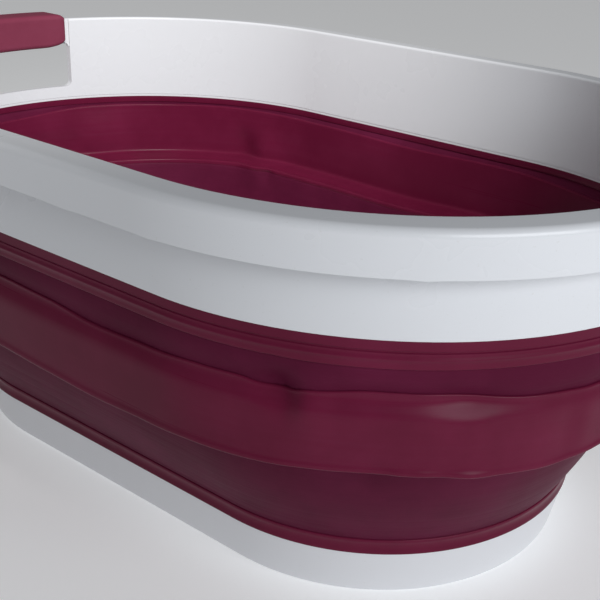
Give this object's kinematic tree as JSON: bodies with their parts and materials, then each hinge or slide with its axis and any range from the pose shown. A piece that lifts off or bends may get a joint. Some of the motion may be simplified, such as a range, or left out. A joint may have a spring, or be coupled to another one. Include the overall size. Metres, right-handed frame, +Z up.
{
  "type": "collapsible baby bathtub",
  "caption": "Oval folding tub with a rigid rim collar, a tiered soft wall that collapses onto a rigid base, and padded hand openings at both ends.",
  "frame": {"origin": "on the floor at the centre of the base", "axes": "+Z up out of the tub, +X along the tub's long axis towards one hand opening"},
  "size_m": [0.6232, 0.409, 0.2556],
  "materials": {
    "white_shell": "satin",
    "maroon_thick": "satin",
    "maroon_thin": "satin",
    "grip_soft": "matte"
  },
  "bodies": {
    "base": {"base_tray": "white_shell", "lower_flange": "maroon_thick", "lower_fold": "maroon_thin"},
    "band": {"middle_band": "maroon_thick", "middle_ledge": "maroon_thick", "upper_fold": "maroon_thin"},
    "collar": {"upper_flange": "maroon_thick", "rim_collar": "white_shell", "grip_far": "grip_soft", "grip_near": "grip_soft"}
  },
  "joints": [
    {"name": "lower_collapse", "type": "slide", "parent": "base", "child": "band", "axis": [0, 0, -1], "range_m": [0, 0.106], "deforming": ["lower_fold"]},
    {"name": "upper_collapse", "type": "slide", "parent": "band", "child": "collar", "axis": [0, 0, -1], "range_m": [0, 0.0175], "deforming": ["upper_fold"]}
  ]
}
